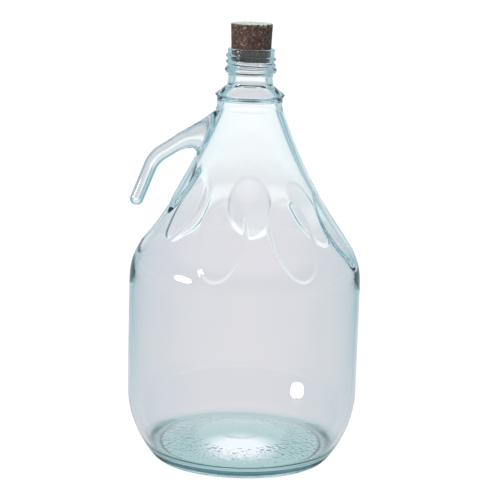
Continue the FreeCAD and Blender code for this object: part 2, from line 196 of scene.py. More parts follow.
class Outline:
    """A line beside the axis, drawn in straight stretches and arcs, as rows of a turned skin."""

    def __init__(self, start: Point, columns: int) -> None:
        """Start the line.

        Args:
            start: radius and height of its first point, in millimetres.
            columns: points round the axis there.
        """
        self.side = Side.OUTSIDE
        self.rows = [Row(*start, columns, self.side)]

    @property
    def end(self) -> Point:
        """Where the line has got to."""
        return self.rows[-1].radius, self.rows[-1].height

    def line_to(self, end: Point, step: float, columns: int) -> None:
        """Go straight to a point.

        Args:
            end: radius and height of the point.
            step: about how far apart the rows are.
            columns: points round the axis in each row.
        """
        start = self.end
        count = max(1, round(math.dist(start, end) / step))
        for number in range(1, count + 1):
            share = number / count
            self.rows.append(Row(start[0] + (end[0] - start[0]) * share,
                                 start[1] + (end[1] - start[1]) * share, columns, self.side))

    def arc_to(self, end: Point, centre: Point, step: float, columns: int) -> None:
        """Go round a centre to a point, by the short way.

        Args:
            end: radius and height of the point.
            centre: radius and height of the centre.
            step: about how far apart the rows are.
            columns: points round the axis in each row.
        """
        start = self.end
        radius = math.dist(start, centre)
        first = math.atan2(start[1] - centre[1], start[0] - centre[0])
        turn = math.remainder(math.atan2(end[1] - centre[1], end[0] - centre[0]) - first, math.tau)
        count = max(1, round(abs(turn) * radius / step))
        for number in range(1, count + 1):
            angle = first + turn * number / count
            self.rows.append(Row(centre[0] + radius * math.cos(angle),
                                 centre[1] + radius * math.sin(angle), columns, self.side))


def polar(centre: Point, angle: float, reach: float) -> Point:
    """The point at an angle in degrees and a reach from a centre."""
    turn = math.radians(angle)
    return centre[0] + reach * math.cos(turn), centre[1] + reach * math.sin(turn)


def toward(start: Point, through: Point, reach: float) -> Point:
    """The point at a reach from start, towards another point."""
    share = reach / math.dist(start, through)
    return start[0] + (through[0] - start[0]) * share, start[1] + (through[1] - start[1]) * share


class Skin:
    """Vertices and faces of a turned piece, ring by ring."""

    def __init__(self) -> None:
        """Start with nothing."""
        self.points: list[Place] = []
        self.faces: list[tuple[int, ...]] = []
        self.walks: list[float] = []
        self.sides: list[float] = []

    def add(self, place: Place, walk: float = 0.0, side: Side = Side.OUTSIDE) -> int:
        """Add a vertex.

        Args:
            place: where it is, in millimetres.
            walk: how far up the outline it lies.
            side: the skin that it is on.

        Returns:
            Its number.
        """
        self.points.append(place)
        self.walks.append(walk)
        self.sides.append(float(side.value))
        return len(self.points) - 1

    def lay(self, row: Row, walk: float = 0.0) -> list[int]:
        """Lay one ring.

        Args:
            row: the ring's radius, height, number of points and side.
            walk: how far up the outline it lies.

        Returns:
            The numbers of its points.
        """
        if row.columns == 1:
            return [self.add((0.0, 0.0, row.height), walk, row.side)]
        angles = [math.tau * column / row.columns for column in range(row.columns)]
        return [self.add((row.radius * math.cos(angle), row.radius * math.sin(angle), row.height),
                         walk, row.side) for angle in angles]

    def join_all(self, rings: list[list[int]]) -> None:
        """Join each ring to the next."""
        for low, high in zip(rings, rings[1:]):
            self.join(low, high)

    def join(self, low: list[int], high: list[int]) -> None:
        """Join two rings, where one may have a whole number of times the other's points.

        Args:
            low: the points of the ring that comes first.
            high: the points of the next.
        """
        if len(low) == 1 or len(high) == 1:
            self.fan(low, high)
        elif len(low) == len(high):
            for near, far in zip(range(len(low)), (*range(1, len(low)), 0)):
                self.faces.append((low[near], low[far], high[far], high[near]))
        elif len(low) < len(high):
            self.spread(low, high, False)
        else:
            self.spread(high, low, True)

    def fan(self, low: list[int], high: list[int]) -> None:
        """Close a ring onto the one point of a pole.

        Args:
            low: the ring's points, or the pole's.
            high: the other's.
        """
        ring = high if len(low) == 1 else low
        for near, far in zip(ring, ring[1:] + ring[:1]):
            if len(low) == 1:
                self.faces.append((low[0], far, near))
            else:
                self.faces.append((near, far, high[0]))

    def spread(self, few: list[int], many: list[int], turned: bool) -> None:
        """Join a ring to one with a multiple of its points, by triangles.

        Args:
            few: the points of the coarser ring.
            many: the points of the finer ring.
            turned: whether the finer ring comes first.
        """
        share = len(many) // len(few)
        for number, start in enumerate(few):
            end = few[(number + 1) % len(few)]
            stretch = [many[(number * share + step) % len(many)] for step in range(share + 1)]
            half = share // 2
            made = [(start, end, stretch[half])]
            made += [(start, b, a) for a, b in zip(stretch[:half], stretch[1:half + 1])]
            made += [(end, b, a) for a, b in zip(stretch[half:-1], stretch[half + 1:])]
            self.faces += [face[::-1] for face in made] if turned else made

    def mesh(self, name: str) -> bpy.types.Object:
        """The skin as an object in metres, with its walk and side kept on its points.

        Args:
            name: the object's name.

        Returns:
            The object.
        """
        data = bpy.data.meshes.new(name)
        data.from_pydata([tuple(value * MM for value in place) for place in self.points], [], self.faces)
        for label, values in (("walk", self.walks), ("side", self.sides)):
            data.attributes.new(label, "FLOAT", "POINT").data.foreach_set("value", values)
        data.shade_smooth()
        piece = bpy.data.objects.new(name, data)
        bpy.context.scene.collection.objects.link(piece)
        return piece


# --- Finishes ----------------------------------------------------------------------------------


def start_material(name: str) -> tuple[bpy.types.Material, Bench]:
    """Make an empty material.

    Args:
        name: the material's name.

    Returns:
        The material and the bench of its tree.
    """
    material = bpy.data.materials.new(name)
    material.use_nodes = True
    return material, Bench(material.node_tree)


@dataclass(frozen=True)
class BottleGlass:
    """Soda-lime glass, nearly clear through one wall and sea green where it is thick."""

    ior: float = 1.52
    absorbed: Colour = (15.0, 8.6, 7.8)
    roughness: float = 0.004
    smear: float = 0.02
    smear_scale: float = 22.0
    smear_detail: float = 4.0
    smear_span: Span = (0.52, 0.75)

    def make(self) -> bpy.types.Material:
        """The glass as a material.

        Returns:
            The material.
        """
        material, bench = start_material("bottle_glass")
        place = bench.node("ShaderNodeTexCoord").out("Object")
        noise = bench.node("ShaderNodeTexNoise", None, {
            "Vector": place, "Scale": self.smear_scale, "Detail": self.smear_detail})
        surface = bench.node("ShaderNodeBsdfPrincipled", None, {
            "Base Color": (1.0, 1.0, 1.0),
            "Roughness": bench.smooth(noise, *self.smear_span) * self.smear + self.roughness,
            "IOR": self.ior,
            "Transmission Weight": 1.0,
        })
        density = max(self.absorbed)
        tint = tuple(1.0 - value / density for value in self.absorbed)
        volume = bench.node("ShaderNodeVolumeAbsorption", None, {"Color": tint, "Density": density})
        bench.node("ShaderNodeOutputMaterial", None, {"Surface": surface, "Volume": volume})
        return material


@dataclass(frozen=True)
class GroundCork:
    """Granules of cork pressed together: brown grains of many shades with dark joints, and a painted pale
    light on the top face.

    A scale is in waves to the metre, and a share is how much of one thing goes in.
    """

    grain: float = 1.5 * MM
    dark: Colour = (0.05, 0.024, 0.02)
    brown: Colour = (0.10, 0.052, 0.042)
    tan: Colour = (0.19, 0.10, 0.072)
    light: Colour = (0.66, 0.40, 0.28)
    stops: tuple[float, float, float, float] = (0.12, 0.4, 0.7, 1.0)
    joint: Colour = (0.02, 0.01, 0.01)
    # painted highlight: the pale green-white that the upward-facing top is blended towards, as if lit
    # from above
    worn: Colour = (0.38, 0.46, 0.40)
    warp_scale: float = 900.0
    warp_detail: float = 2.0
    warp_reach: float = 0.9 * MM
    fine_scale: float = 2600.0
    fine_detail: float = 3.0
    fine_roughness: float = 0.65
    grain_share: float = 0.62
    fine_share: float = 0.42
    darker: float = 0.02
    seam_span: Span = (0.02, 0.10)
    seam_share: float = 0.8
    worn_span: Span = (0.6, 0.95)
    worn_share: float = 0.75
    bump_strength: float = 0.6
    bump_distance: float = 0.4 * MM
    roughness: float = 0.82
    gloss_share: float = 0.12

    def make(self) -> bpy.types.Material:
        """The cork as a material.

        Returns:
            The material.
        """
        material, bench = start_material("ground_cork")
        place = bench.node("ShaderNodeTexCoord").out("Object")
        warp = bench.node("ShaderNodeTexNoise", None, {
            "Vector": place, "Scale": self.warp_scale, "Detail": self.warp_detail})
        bent = bench.node("ShaderNodeVectorMath", {"operation": "MULTIPLY_ADD"},
                          {0: warp.out("Color"), 1: (self.warp_reach,) * 3, 2: place})
        grain = {"Vector": bent, "Scale": 1.0 / self.grain}
        shade = bench.split(bench.node("ShaderNodeTexVoronoi", None, grain).out("Color"))[0]
        edge = bench.node("ShaderNodeTexVoronoi", {"feature": "DISTANCE_TO_EDGE"}, grain)
        fine = bench.node("ShaderNodeTexNoise", None, {
            "Vector": place, "Scale": self.fine_scale, "Detail": self.fine_detail,
            "Roughness": self.fine_roughness})
        stops = list(zip(self.stops, (self.dark, self.brown, self.tan, self.light)))
        grains = bench.node("ShaderNodeValToRGB", {"stops": stops}, {
            0: shade * self.grain_share + fine * self.fine_share - self.darker})
        seam = 1.0 - bench.smooth(edge, *self.seam_span)
        colour = bench.blend(seam * self.seam_share, grains, self.joint)
        up = bench.split(bench.node("ShaderNodeNewGeometry").out("Normal"))[2]
        # Painted highlight: faces that point up turn pale green-white, standing in for the top lit by the
        # overhead light
        colour = bench.blend(bench.smooth(up, *self.worn_span) * self.worn_share, colour, self.worn)
        bump = bench.node("ShaderNodeBump", None, {
            "Strength": self.bump_strength, "Distance": self.bump_distance,
            "Height": fine - seam * self.seam_share})
        surface = bench.node("ShaderNodeBsdfPrincipled", None, {
            "Base Color": colour, "Roughness": self.roughness - shade * self.gloss_share,
            "Normal": bump})
        bench.node("ShaderNodeOutputMaterial", None, {"Surface": surface})
        return material


@dataclass(frozen=True)
class StudioPaper:
    """The pale paper that the bottle stands on, lit by its own painted glow: dimmer at the bottle's foot,
    as a painted shadow, and at the sides.

    A pair of distances, in metres, says from where to where the paper's light changes. The sides
    begin further out behind the bottle, by a spread, and all is turned, in degrees, as the camera is.
    """

    turn: float
    colour: Colour = (0.03, 0.03, 0.03)
    roughness: float = 0.9
    specular: float = 0.1
    seen: Colour = (1.02, 1.02, 1.02)
    close: Colour = (0.745, 0.70, 0.735)
    distant: Colour = (1.09, 1.09, 1.09)
    farthest: Colour = (1.08, 1.08, 1.09)
    aside: Colour = (0.30, 0.49, 0.53)
    wide: Colour = (0.54, 0.66, 0.69)
    front: Colour = (0.66, 0.72, 0.74)
    middle: Colour = (1.2, 1.18, 1.24)
    shaded: Colour = (0.43, 0.62, 0.61)
    reach: Span = (0.8, 2.0)
    beyond: Span = (2.5, 3.5)
    facing: Span = (-0.45, -0.12)
    strip: Span = (0.01, 0.33)
    sides: Span = (0.6, 1.6)
    spread: float = 0.19
    spot: Span = (0.014, 0.040)
    foot: Span = (0.066, 0.10)

    def make(self) -> bpy.types.Material:
        """The paper as a material.

        Returns:
            The material.
        """
        material, bench = start_material("studio_paper")
        x, y, _ = bench.split(bench.node("ShaderNodeTexCoord").out("Object"))
        turn = math.radians(self.turn)
        across = x * math.cos(turn) - y * math.sin(turn)
        behind = x * math.sin(turn) + y * math.cos(turn)
        away = (x * x + y * y).math("SQRT")
        outer = across.math("ABSOLUTE") - behind.math("MAXIMUM", 0.0) * self.spread
        lit = bench.blend(bench.smooth(away, *self.reach), self.close, self.distant)
        lit = bench.blend(bench.smooth(away, *self.beyond), lit, self.farthest)
        sides = bench.blend(bench.smooth(outer, *self.sides), self.aside, self.wide)
        lit = bench.blend(bench.smooth(outer, *self.strip), lit, sides)
        lit = bench.blend(bench.smooth(behind, *self.facing), self.front, lit)
        # Painted shadow: near the bottle's foot the glow drops to a dim sea green, with a brighter
        # painted light right under the middle of the base; the camera itself sees plain white
        shade = bench.blend(bench.smooth(away, *self.spot), self.middle, self.shaded)
        glow = bench.blend(bench.smooth(away, *self.foot), shade, lit)
        seen = bench.node("ShaderNodeLightPath").out("Is Camera Ray")
        surface = bench.node("ShaderNodeBsdfPrincipled", None, {
            "Base Color": self.colour, "Roughness": self.roughness, "Specular IOR Level": self.specular,
            "Emission Color": bench.blend(seen, glow, self.seen), "Emission Strength": 1.0})
        bench.node("ShaderNodeOutputMaterial", None, {"Surface": surface})
        return material


# --- Trees that shape a skin -------------------------------------------------------------------


class Tree:
    """A Geometry Nodes tree that moves the points of a skin along their normals."""

    def __init__(self, name: str, sizes: Any) -> None:
        """Start the tree, with one named input for each size.

        Args:
            name: the tree's name.
            sizes: a dataclass whose fields are numbers.
        """
        self.sizes = sizes
        self.group = bpy.data.node_groups.new(name, "GeometryNodeTree")
        self.group.interface.new_socket("Geometry", in_out="INPUT", socket_type="NodeSocketGeometry")
        self.group.interface.new_socket("Geometry", in_out="OUTPUT", socket_type="NodeSocketGeometry")
        self.keys = {}
        for item in fields(sizes):
            label = item.name.replace("_", " ").capitalize()
            socket = self.group.interface.new_socket(label, in_out="INPUT", socket_type="NodeSocketFloat")
            self.keys[item.name] = (label, socket.identifier)
        self.bench = Bench(self.group)
        self.start = self.bench.node("NodeGroupInput")
        place = self.bench.node("GeometryNodeInputPosition")
        self.place = self.bench.scaled(place, 1.0 / MM)

    def size(self, name: str) -> Wire:
        """The named input of a size."""
        return self.start.out(self.keys[name][0])

    def kept(self, name: str) -> Wire:
        """A number kept on the points."""
        return self.bench.node("GeometryNodeInputNamedAttribute", {"data_type": "FLOAT"}, {"Name": name})

    def step(self, value: Wire, name: str) -> Wire:
        """A soft step between two sizes, the ones called NAME_from and NAME_to."""
        return self.bench.smooth(value, self.size(f"{name}_from"), self.size(f"{name}_to"))

    def noise(self, scale: Wire, detail: float = 2.0) -> Wire:
        """A noise through the piece, with its scale in waves to the millimetre."""
        return self.bench.node("ShaderNodeTexNoise", None, {
            "Vector": self.place, "Scale": scale, "Detail": detail})

    def finish(self, outward: Wire, material: bpy.types.Material) -> None:
        """Move the points and dress the result.

        Args:
            outward: how many millimetres each point goes out.
            material: the finish.
        """
        normal = self.bench.node("GeometryNodeInputNormal")
        moved = self.bench.node("GeometryNodeSetPosition", None, {
            "Geometry": self.start, "Offset": self.bench.scaled(normal, outward * MM)})
        real = self.bench.node("GeometryNodeRealizeInstances", None, {"Geometry": moved})
        dressed = self.bench.node("GeometryNodeSetMaterial", None, {
            "Geometry": real, "Material": material})
        self.bench.node("NodeGroupOutput", None, {"Geometry": dressed})

    def shape(self, piece: bpy.types.Object) -> None:
        """Run the tree on a piece and keep the result as the piece's plain mesh.

        Args:
            piece: the piece.
        """
        modifier = piece.modifiers.new(self.group.name, "NODES")
        modifier.node_group = self.group
        for name, (_, key) in self.keys.items():
            modifier[key] = float(getattr(self.sizes, name))
        graph = bpy.context.evaluated_depsgraph_get()
        data = bpy.data.meshes.new_from_object(piece.evaluated_get(graph))
        piece.modifiers.clear()
        piece.data = data
        for name in ("walk", "side"):
            if name in data.attributes:
                data.attributes.remove(data.attributes[name])
        data.shade_smooth()


@dataclass(frozen=True)
class ReliefSizes:
    """What the mould leaves on the glass, in millimetres, degrees and counts.

    Two names that end in from and to are the ends of a soft step, and an edge is a share of its
    oval. The foot is the handle's, where the glass is left plain.
    """

    oval_first: float = 61.0
    oval_step: float = 45.0
    oval_last: float = 2.0
    oval_middle: float = 194.5
    oval_half_height: float = 34.0
    oval_half_width: float = 18.5
    oval_edge: float = 0.07
    oval_relief: float = 1.3
    band_low_from: float = 140.0
    band_low_to: float = 166.0
    band_high_from: float = 236.0
    band_high_to: float = 262.0
    fade_from: float = 194.5
    fade_to: float = 224.0
    fade_share: float = 0.88
    recess_middle: float = 211.0
    recess_half_height: float = 43.0
    recess_half_width: float = 41.0
    recess_edge: float = 0.09
    recess_depth: float = 1.7
    foot_middle: float = 253.0
    foot_half_height: float = 42.0
    foot_half_width: float = 16.5
    foot_edge: float = 0.1
    thread_start: float = 315.6
    thread_pitch: float = 4.7
    thread_turns: float = 1.9
    thread_stand: float = 1.3
    thread_crest: float = 0.6
    thread_foot: float = 1.6
    thread_run: float = 0.07
    thread_over: float = 0.02
    knurls: float = 180.0
    knurl_depth: float = 1.2
    knurl_inner_from: float = 65.0
    knurl_inner_to: float = 66.5
    knurl_outer_from: float = 76.5
    knurl_outer_to: float = 78.0
    knurl_top_from: float = 7.0
    knurl_top_to: float = 11.0
    base_top_from: float = 13.0
    base_top_to: float = 14.0
    stipple_inner_from: float = 30.0
    stipple_inner_to: float = 44.0
    stipple_outer_from: float = 64.0
    stipple_outer_to: float = 65.0
    stipple_from: float = 0.3
    stipple_to: float = 0.7
    stipple_depth: float = 0.4
    stipple_size: float = 2.0
    disc_inner_from: float = 15.0
    disc_inner_to: float = 17.5
    disc_depth: float = 0.16
    disc_scale: float = 0.55
    wave_depth: float = 0.22
    wave_size: float = 34.0
    wave_foot_from: float = 20.0
    wave_foot_to: float = 60.0
    wave_top_from: float = 270.0
    wave_top_to: float = 290.0


class MouldRelief(Tree):
    """The ovals, the finger recess, the thread, the knurls, the stippled base and the uneven inside."""

    def __init__(self, sizes: ReliefSizes, material: bpy.types.Material) -> None:
        """Build the tree.

        Args:
            sizes: the sizes of the relief.
            material: the glass.
        """
        super().__init__("mould_relief", sizes)
        self.x, self.y, self.z = self.bench.split(self.place)
        self.walk = self.kept("walk")
        self.radius = (self.x * self.x + self.y * self.y).math("SQRT")
        self.rel = self.y.math("ARCTAN2", self.x * -1.0)
        inside = self.kept("side")
        outward = self.thread() - self.shoulder() - self.knurling() - self.stipple()
        self.finish(outward * (1.0 - inside) - self.waves() * inside, material)

    def beyond(self, name: str, across: Wire) -> Wire:
        """A mask of what lies outside an oval.

        Args:
            name: what the names of the oval's sizes begin with.
            across: how far round the bottle a point lies from the oval's middle.

        Returns:
            0 in the oval and 1 beyond its soft edge.
        """
        wide = across / self.size(f"{name}_half_width")
        high = (self.walk - self.size(f"{name}_middle")) / self.size(f"{name}_half_height")
        edge = self.size(f"{name}_edge")
        return self.bench.smooth((wide * wide + high * high).math("SQRT"), 1.0 - edge, 1.0 + edge)

    def between_ovals(self) -> Wire:
        """The ground between the ovals.

        Returns:
            1 between the ovals and 0 on them.
        """
        turn = self.rel.math("ABSOLUTE") * (180.0 / math.pi) - self.size("oval_first")
        number = (turn / self.size("oval_step")).math("ROUND")
        number = number.math("MAXIMUM", 0.0).math("MINIMUM", self.size("oval_last"))
        across = (turn - number * self.size("oval_step")) * (math.pi / 180.0) * self.radius
        return self.beyond("oval", across)

    def shoulder(self) -> Wire:
        """The lower ground that the ovals stand in, and the finger recess.

        Returns:
            How deep the ground lies, in millimetres.
        """
        size, step = self.size, self.step
        band = step(self.walk, "band_low") * (1.0 - step(self.walk, "band_high"))
        band = band * (1.0 - step(self.walk, "fade") * size("fade_share"))
        span = self.rel * self.radius
        recess = (1.0 - self.beyond("recess", span)) * size("recess_depth")
        lowered = (self.between_ovals() * band * size("oval_relief")).math("MAXIMUM", recess)
        return lowered * self.beyond("foot", span)

    def thread(self) -> Wire:
        """The screw thread's ridge, right-handed, from over +X.

        Returns:
            How far it stands out, in millimetres.
        """
        smooth, size = self.bench.smooth, self.size
        turn = (self.rel + math.pi) / math.tau
        lead = (self.z - size("thread_start")) / size("thread_pitch") - turn
        number = lead.math("ROUND")
        off = ((lead - number) * size("thread_pitch")).math("ABSOLUTE")
        along = number + turn
        turns, run, over = size("thread_turns"), size("thread_run"), size("thread_over")
        ends = smooth(along, over * -1.0, run) * (1.0 - smooth(along, turns - run, turns + over))
        ridge = 1.0 - smooth(off, size("thread_crest"), size("thread_foot"))
        return ridge * ends * size("thread_stand")

    def knurling(self) -> Wire:
        """The notches across the ring that the bottle stands on.

        Returns:
            How deep they are, in millimetres.
        """
        size, step = self.size, self.step
        zone = step(self.radius, "knurl_inner") * (1.0 - step(self.radius, "knurl_outer"))
        low = 1.0 - step(self.z, "knurl_top")
        wave = (self.rel * size("knurls")).math("COSINE") * 0.5 + 0.5
        return zone * low * wave * size("knurl_depth")

    def stipple(self) -> Wire:
        """The pimpled ring and the lightly textured disc of the hollowed base.

        Returns:
            How deep the texture is, in millimetres.
        """
        size, step = self.size, self.step
        low = 1.0 - step(self.z, "base_top")
        end = 1.0 - step(self.radius, "stipple_outer")
        ring = step(self.radius, "stipple_inner") * end
        disc = step(self.radius, "disc_inner") * end
        pimple = step(self.noise(1.0 / size("stipple_size"), 1.0), "stipple")
        return (ring * pimple * size("stipple_depth")
                + disc * self.noise(size("disc_scale")) * size("disc_depth")) * low

    def waves(self) -> Wire:
        """The slow unevenness of the blown inside.

        Returns:
            How far the glass stands into the bottle, in millimetres.
        """
        above = self.step(self.z, "wave_foot") * (1.0 - self.step(self.z, "wave_top"))
        return self.noise(1.0 / self.size("wave_size"), 1.0) * above * self.size("wave_depth")


# --- The bottle --------------------------------------------------------------------------------


@dataclass
class Handle:
    """The solid glass hook, from its foot on the cone to its round tip; sizes in millimetres.

    The arm leans down from level and the hook out from plumb, in degrees. A pull is how far the
    curve of the root goes straight on, as a share of the way from the foot's edge to the arm.
    """

    root_middle: float = 278.0
    root_half_length: float = 19.5
    root_half_width: float = 9.5
    root_gap: float = 0.08
    root_pull: float = 0.22
    top_pull: float = 0.33
    arm_pull: float = 0.42
    arm_lean: float = 31.0
    hook_lean: float = 22.0
    corner: Point = (75.8, 243.3)
    bend_radius: float = 24.0
    flare_inset: float = 34.0
    flare_length: float = 17.0
    flare_drop: float = 2.1
    flare_turn: float = 23.0
    flare_half_height: float = 8.4
    flare_half_width: float = 7.6
    arm_radius: float = 6.0
    hook_radius: float = 5.3
    hook_drop: float = 34.8
    step: float = 1.5
    columns: int = 72
    cap_steps: int = 6
    root_steps: int = 9
    tip_steps: int = 7

    def stations(self) -> list[tuple[Point, float, float, float]]:
        """The sections from the flare to the end of the hook.

        Returns:
            For each, its centre, its way out in degrees below level, its half height and half width.
        """
        fall = 90.0 - self.hook_lean
        reach = self.bend_radius * math.tan(math.radians(fall - self.arm_lean) / 2)
        straight = self.flare_inset - reach
        bend = self.bend_radius * math.radians(fall - self.arm_lean)
        whole = straight + bend + self.hook_drop - reach
        start = polar(self.corner, 180.0 - self.arm_lean, self.flare_inset)
        bend_start = polar(self.corner, 180.0 - self.arm_lean, reach)
        bend_centre = polar(bend_start, -90.0 - self.arm_lean, self.bend_radius)
        made = []
        for number in range(round(whole / self.step) + 1):
            walk = whole * number / round(whole / self.step)
            flare = max(0.0, 1.0 - walk / self.flare_length) ** 2
            bent = min(max((walk - straight) / bend, 0.0), 1.0)
            lean = self.arm_lean + (fall - self.arm_lean) * bent
            if walk < straight:
                centre = polar(start, -self.arm_lean, walk)
            elif bent < 1.0:
                centre = polar(bend_centre, 90.0 - lean, self.bend_radius)
            else:
                centre = polar(self.corner, -fall, reach + walk - straight - bend)
            radius = self.arm_radius + (self.hook_radius - self.arm_radius) * bent
            made.append(((centre[0], centre[1] - self.flare_drop * flare), lean - self.flare_turn * flare,
                         radius + (self.flare_half_height - radius) * flare,
                         radius + (self.flare_half_width - radius) * flare))
        return made

    def angles(self) -> np.ndarray:
        """The angles of a section's points round the handle."""
        return np.arange(self.columns) * math.tau / self.columns

    def ring(self, centre: Point, lean: float, high: float, wide: float) -> np.ndarray:
        """One section of the handle.

        Args:
            centre: its middle, as a distance from the bottle's axis and a height.
            lean: the way the handle goes there, in degrees below level.
            high: its half height.
            wide: its half width.

        Returns:
            Its points.
        """
        up, across = np.cos(self.angles())[:, None], np.sin(self.angles())[:, None]
        turn = math.radians(lean)
        rise = np.array([-math.sin(turn), 0.0, math.cos(turn)])
        return np.array([-centre[0], 0.0, centre[1]]) + up * rise * high + across * [0.0, wide, 0.0]

    def root(self, edge: np.ndarray, inward: np.ndarray, arm: list[np.ndarray]) -> list[np.ndarray]:
        """The rings that lead from the foot's edge into the arm.

        Args:
            edge: the points of the foot's edge.
            inward: at each, the way along the cone towards the foot's middle.
            arm: the arm's first two rings.

        Returns:
            The rings between the edge and the arm.
        """
        gap = np.linalg.norm(arm[0] - edge, axis=1, keepdims=True)
        away = arm[1] - arm[0]
        away /= np.linalg.norm(away, axis=1, keepdims=True)
        top = np.maximum(np.cos(self.angles())[:, None], 0.0) ** 2
        first = (edge + inward * gap * self.root_pull * (1.0 - top)
                 + (arm[0] - edge) * self.top_pull * top)
        second = arm[0] - away * gap * self.arm_pull
        made = []
        for number in range(1, self.root_steps):
            share = number / self.root_steps
            rest = 1.0 - share
            made.append(edge * rest ** 3 + first * 3 * rest ** 2 * share
                        + second * 3 * rest * share ** 2 + arm[0] * share ** 3)
        return made

    def tip(self, centre: Point, lean: float, high: float, wide: float) -> list[np.ndarray]:
        """The rings of the round end.

        Args:
            centre: the middle of the last section.
            lean: the way the hook goes there, in degrees below level.
            high: its half height.
            wide: its half width.

        Returns:
            The rings, the last of them the end's one point.
        """
        made = []
        for number in range(1, self.tip_steps):
            turn = math.radians(number / self.tip_steps * 90.0)
            on = polar(centre, -lean, high * math.sin(turn))
            made.append(self.ring(on, lean, high * math.cos(turn), wide * math.cos(turn)))
        end = polar(centre, -lean, high)
        return made + [np.array([[-end[0], 0.0, end[1]]])]

    def cap(self, bottle: "Bottle") -> list[np.ndarray]:
        """The foot, which follows the cone.

        Args:
            bottle: the bottle, for its cone.

        Returns:
            The rings from round the foot's middle to its edge.
        """
        made = []
        for share in np.linspace(0.0, 1.0, self.cap_steps + 1)[1:]:
            made.append(np.array([
                bottle.on_cone(self.root_middle + math.cos(angle) * share * self.root_half_length,
                               math.sin(angle) * share * self.root_half_width, self.root_gap)
                for angle in self.angles()]))
        return made

    def build(self, bottle: "Bottle", material: bpy.types.Material) -> bpy.types.Object:
        """The handle as one closed piece, its foot shaped to the cone it is fused to.

        Args:
            bottle: the bottle, for its cone.
            material: the glass.

        Returns:
            The finished piece.
        """
        middle = np.array(bottle.on_cone(self.root_middle, 0.0, self.root_gap))
        cap = self.cap(bottle)
        inward = middle - cap[-1]
        inward /= np.linalg.norm(inward, axis=1, keepdims=True)
        stations = self.stations()
        arm = [self.ring(*station) for station in stations]
        rings = [middle[None], *cap, *self.root(cap[-1], inward, arm[:2]), *arm, *self.tip(*stations[-1])]
        skin = Skin()
        skin.join_all([[skin.add(tuple(place)) for place in ring] for ring in rings])
        piece = skin.mesh("hook_handle_glass")
        piece.data.materials.append(material)
        return piece


